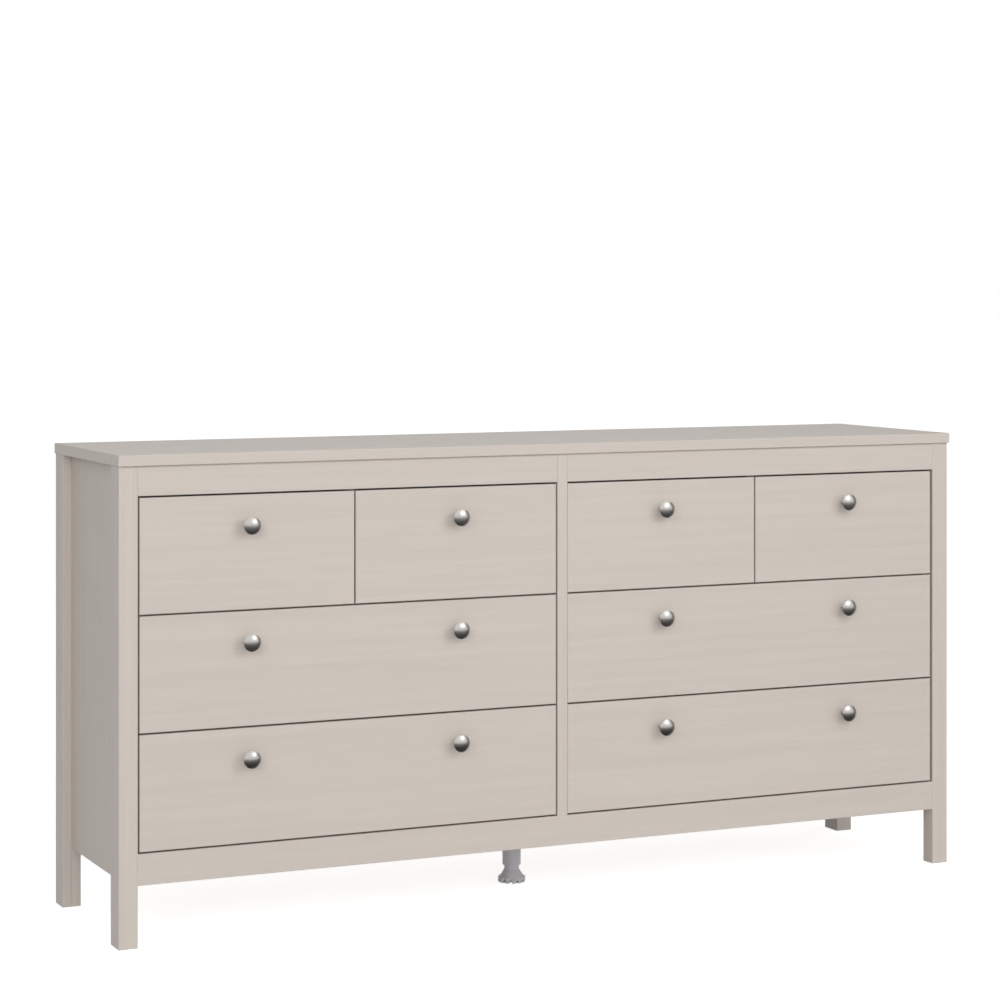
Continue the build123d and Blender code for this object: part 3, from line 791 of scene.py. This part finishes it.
# %% Base with lobes and slots
LOBES = 12
LOBE_DEPTH = 2.6 * MM
LOBE_COLUMNS = 20
SLOT_HEIGHT = 5 * MM
SLOT_WIDTH = 4.6 * MM
BASE_STEPS = 4


def lobed_base(outline):
    """A turned base without the run back along the axis. Its rim, which is all below the rim's height and
    outside the cone, is pulled in between the lobes by depth times the square of
    (1 + cos(lobes x angle)) / 2. Its underside outside the slots' inner wall is lifted to the slot's height
    where the distance from a slot's middle line is less than half its width."""
    columns = LOBES * LOBE_COLUMNS
    points = turned(ring_section(outline, BASE_STEPS)[:-BASE_STEPS], columns)
    angle = np.arange(columns) * math.tau / columns
    radius = np.hypot(points[..., 0], points[..., 1])
    between = ((1 + np.cos(LOBES * angle)) / 2) ** 2
    in_rim = (points[..., 2] <= RIM_HEIGHT) & (radius > CONE_RADIUS)
    pull = np.minimum(LOBE_DEPTH * between, radius - CONE_RADIUS) * in_rim
    points[..., :2] *= (1 - pull / np.maximum(radius, MM))[..., None]
    from_slot = (angle / math.tau * LOBES + 0.5) % 1 - 0.5
    in_slot = np.abs(from_slot) * math.tau / LOBES * CONE_RADIUS < SLOT_WIDTH / 2
    past_wall = radius > SLOT_WALL_RADIUS + SLOT_WALL_SLOPE / 2
    points[..., 2] = np.maximum(points[..., 2], np.where(in_slot & past_wall, SLOT_HEIGHT, 0))
    return points


base = aimed(lobed_base(base_outline), [foot_axis], (0, 0, 1))
make_piece("lobed_foot_base", base, grey_polypropylene, "foot_base", ["foot_base"])

# %% [markdown]
# ## Nails in the back
#
# The two back panels sit in grooves at the sides and are nailed along the partition, dividers, shelves
# and bottom. A nail's head is a low dome, too small to need a solid of its own in the frame. One head is
# repeated along lines that are read from the boards that the nails go into.

# %% Nails
NAIL_RADIUS = 2.2 * MM
NAIL_RISE = 0.7 * MM
NAIL_SPACING = 110 * MM
NAIL_INSET = 5 * MM
NAIL_STEPS = 6
NAIL_COLUMNS = 16


def nail_head():
    """A low dome: radius falls as a cosine while height rises as a sine, from the panel to the middle."""
    turn = np.linspace(0, math.pi / 2, NAIL_STEPS)
    dome = np.stack([NAIL_RISE * np.sin(turn), NAIL_RADIUS * np.cos(turn)], axis=-1)
    return turned(np.vstack([(0, 0), dome]), NAIL_COLUMNS)


def nail_line(start, end):
    """Places in equal steps near the spacing on a straight line, its two ends left out by half a step."""
    start, end = np.asarray(start), np.asarray(end)
    count = max(1, round(np.linalg.norm(end - start) / NAIL_SPACING))
    share = ((np.arange(count) + 0.5) / count)[:, None]
    return start + (end - start) * share


rear_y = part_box("left_back_panel")[1].y
nail_rows = []
for side in ("left", "right"):
    panel_low, panel_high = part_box(f"{side}_back_panel")
    inner = min(panel_low.x, panel_high.x, key=abs)
    inner_x = inner + math.copysign(NAIL_INSET, inner)
    for board_name in (f"{side}_shelf", "bottom_panel"):
        board_low, board_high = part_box(board_name)
        board_z = (board_low.z + board_high.z) / 2
        nail_rows.append(nail_line((panel_low.x, rear_y, board_z), (panel_high.x, rear_y, board_z)))
    divider_low, divider_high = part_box(f"{side}_divider")
    divider_x = (divider_low.x + divider_high.x) / 2
    nail_rows.append(nail_line((divider_x, rear_y, divider_low.z), (divider_x, rear_y, divider_high.z)))
    nail_rows.append(nail_line((inner_x, rear_y, panel_low.z), (inner_x, rear_y, panel_high.z)))
nails = aimed(nail_head(), np.vstack(nail_rows), (0, 1, 0))
make_piece("back_panel_nails", nails, zinc_plated_steel, "carcass")

# %% [markdown]
# ## Floor and room
#
# The photograph is a cut-out on white. More light on the floor would also wash out the dresser, so the
# floor adds a glow of its own that only the camera and mirrors see. It is a little less than white, and
# the lamps bring the rest, so a faint shadow stays under the dresser. The room works in the same way: it
# is white to the camera and in mirrors, and gives the boards only a low even light.

# %% Floor
FLOOR_HALF = 60.0
FLOOR_GLOW = 0.76
WHITE = (1, 1, 1, 1)
ONE_QUAD = [(0, 1, 2, 3)]


def background_share(tree):
    """1 for rays from the camera and for mirror and clear rays that should see the white, else 0."""
    rays = add_node(tree, "ShaderNodeLightPath").outputs
    seen = add_node(
        tree, "ShaderNodeMath", {0: rays["Is Camera Ray"], 1: rays["Is Glossy Ray"]}, operation="MAXIMUM"
    ).outputs[0]
    return add_node(
        tree, "ShaderNodeMath", {0: seen, 1: rays["Is Transmission Ray"]}, operation="MAXIMUM"
    ).outputs[0]


floor_material, floor_tree, floor_surface = new_material("pale_studio_floor")
glow_strength = add_node(
    floor_tree, "ShaderNodeMath", {0: background_share(floor_tree), 1: FLOOR_GLOW}, operation="MULTIPLY"
).outputs[0]
glow = add_node(floor_tree, "ShaderNodeEmission", {"Color": WHITE, "Strength": glow_strength})
matt = add_node(floor_tree, "ShaderNodeBsdfDiffuse", {"Color": linear("#EDEDED")})
floor_shader = add_node(floor_tree, "ShaderNodeAddShader", {0: matt.outputs[0], 1: glow.outputs[0]})
floor_tree.links.new(floor_shader.outputs[0], floor_surface)
floor_mesh = bpy.data.meshes.new("floor")
floor_corners = [(x * FLOOR_HALF, y * FLOOR_HALF, 0) for x, y in ((-1, -1), (1, -1), (1, 1), (-1, 1))]
floor_mesh.from_pydata(floor_corners, [], ONE_QUAD)
floor_mesh.materials.append(floor_material)
floor = bpy.data.objects.new("floor", floor_mesh)
scene.collection.objects.link(floor)
print("the floor glows with", FLOOR_GLOW, "of white")

# %% Room
AMBIENT = 0.22

world = bpy.data.worlds.new("studio")
world.use_nodes = True
room_tree = world.node_tree
room_tree.nodes.clear()
dim = add_node(room_tree, "ShaderNodeBackground", {"Color": WHITE, "Strength": AMBIENT})
white = add_node(room_tree, "ShaderNodeBackground", {"Color": WHITE, "Strength": 1.0})
either = add_node(
    room_tree, "ShaderNodeMixShader", {0: background_share(room_tree), 1: dim.outputs[0], 2: white.outputs[0]}
)
add_node(room_tree, "ShaderNodeOutputWorld", {"Surface": either.outputs[0]})
scene.world = world
print("the room gives", AMBIENT, "of white to the boards")

# %% [markdown]
# ## Painted reflections for the knobs
#
# Plated metal shows the room more than itself, and in a room that is white all round a knob would look
# flat. A darker plating would be wrong in any other light, so glowing cards paint the knobs' reflections
# instead. A card on the floor glows dark at the fronts and paler further out, which paints a shaded
# reflection on each knob's lower half, and a grey flag on the right glows and paints the knobs' right
# edges darker. Only mirrors see them: they are hidden from the camera, give the boards no light and cast no
# shadow.

# %% Painted reflection cards for the knobs
CARD_DEPTH = 14.0
CARD_HALF = 12.0
CARD_FADE = 3.0
CARD_LIFT = 1 * MM
FLAG_X = 5.0
FLAG_REACH = (-2.2, 6.0)
FLAG_TOP = 5.0


def painted_reflection_card(name, corners, tone):
    """A flat glowing card that only mirrors see, which paints a reflection. tone(tree) gives the colour or
    the output that it shines with.
    """
    material, tree, surface = new_material(name)
    emission = add_node(tree, "ShaderNodeEmission", {"Color": tone(tree)})
    tree.links.new(emission.outputs[0], surface)
    mesh = bpy.data.meshes.new(name)
    mesh.from_pydata(corners, [], ONE_QUAD)
    mesh.materials.append(material)
    card = bpy.data.objects.new(name, mesh)
    card.visible_camera = False
    card.visible_diffuse = False
    card.visible_shadow = False
    scene.collection.objects.link(card)
    print(name, [tuple(round(v, 2) for v in corner) for corner in corners])


def painted_reflection_floor_tone(tree):
    """Painted reflection for the knobs' lower halves: dark at the dresser's front and paler with the distance
    in front of it, up to the fade's length.
    """
    place = add_node(tree, "ShaderNodeTexCoord").outputs["Object"]
    depth = add_node(tree, "ShaderNodeSeparateXYZ", {0: place}).outputs["Y"]
    fade = add_node(
        tree, "ShaderNodeMapRange", {"Value": depth, "From Min": front_y - CARD_FADE, "From Max": front_y}
    ).outputs[0]
    return add_node(
        tree, "ShaderNodeMix", {0: fade, 6: linear("#A0A0A0"), 7: linear("#202020")}, data_type="RGBA"
    ).outputs[2]


def painted_reflection_flag_tone(tree):
    """One middle grey, which paints a darker reflection on the knobs' right edges."""
    return linear("#707070")


# Painted reflection: the floor card glows dark near the fronts, for the knobs' shaded lower halves.
card_far = front_y - CARD_DEPTH
card_corners = [(-CARD_HALF, card_far), (CARD_HALF, card_far), (CARD_HALF, front_y), (-CARD_HALF, front_y)]
painted_reflection_card("graded_floor_card", [(x, y, CARD_LIFT) for x, y in card_corners], painted_reflection_floor_tone)
# Painted reflection: the grey flag glows on the right, for the knobs' darker right edges.
flag_near, flag_far = (front_y + reach for reach in FLAG_REACH)
flag_corners = [(flag_near, 0), (flag_far, 0), (flag_far, FLAG_TOP), (flag_near, FLAG_TOP)]
painted_reflection_card("grey_flag", [(FLAG_X, y, z) for y, z in flag_corners], painted_reflection_flag_tone)

# %% [markdown]
# ## Lamps
#
# In the photograph the fronts are brightest, the top is a little darker, and the left end is about four
# fifths of the fronts, with no hard shadow anywhere. A sun with a wide disc acts as a softbox that is
# equally bright along the whole length: one from the front left does most of the work, one from the right
# evens it out, and two narrow ones fill the right end and the back. Softboxes near the dresser add the
# fall-off from top to bottom, and one overhead lights the top. Only the key softbox is seen in mirrors,
# as the white spot on each knob.

# %% Suns
# Each sun: the direction in which it stands, its strength and the width of its disc in degrees.
SUNS = {
    "front_wall": ((-0.40, -0.90, 0.15), 1.4, 60),
    "key_light": ((0.55, -0.80, 0.20), 0.65, 40),
    "right_fill": ((0.95, 0.15, 0.0), 1.5, 10),
    "back_fill": ((0.1, 0.95, 0.0), 1.9, 10),
}


def hang_lamp(light, towards, in_mirrors):
    """Link a lamp to the scene, turned so that it shines away from the direction in which it stands."""
    lamp = bpy.data.objects.new(light.name, light)
    lamp.rotation_mode = "QUATERNION"
    lamp.rotation_quaternion = towards.to_track_quat("Z", "Y")
    lamp.visible_glossy = in_mirrors
    scene.collection.objects.link(lamp)
    return lamp


for lamp_name, (towards, strength, disc_degrees) in SUNS.items():
    sun = bpy.data.lights.new(lamp_name, "SUN")
    sun.energy = strength
    sun.angle = math.radians(disc_degrees)
    hang_lamp(sun, Vector(towards), False)
print("suns", list(SUNS))

# %% Softboxes
# Each softbox: its place, the point it faces, its width and height, its watts, and whether mirrors see it.
SOFTBOXES = {
    "key_softbox": ((0.68, -1.85, 1.85), (0, -0.2, 0.55), (1.3, 1.0), 10, True),
    "left_softbox": ((-1.9, -1.5, 1.6), (-0.3, 0, 0.5), (1.5, 1.0), 8.2, False),
    "overhead_softbox": ((0, -0.3, 4.0), (0, 0, 0.8), (3.0, 1.5), 12, False),
}
for lamp_name, (place, target, size, watts, in_mirrors) in SOFTBOXES.items():
    softbox = bpy.data.lights.new(lamp_name, "AREA")
    softbox.shape = "RECTANGLE"
    softbox.size, softbox.size_y = size
    softbox.energy = watts
    lamp = hang_lamp(softbox, Vector(place) - Vector(target), in_mirrors)
    lamp.location = place
    lamp.visible_camera = False
print("softboxes", list(SOFTBOXES))

# %% [markdown]
# ## Size
#
# The dressed dresser has to stay inside the frame's box.

# %% Size and finish
import json
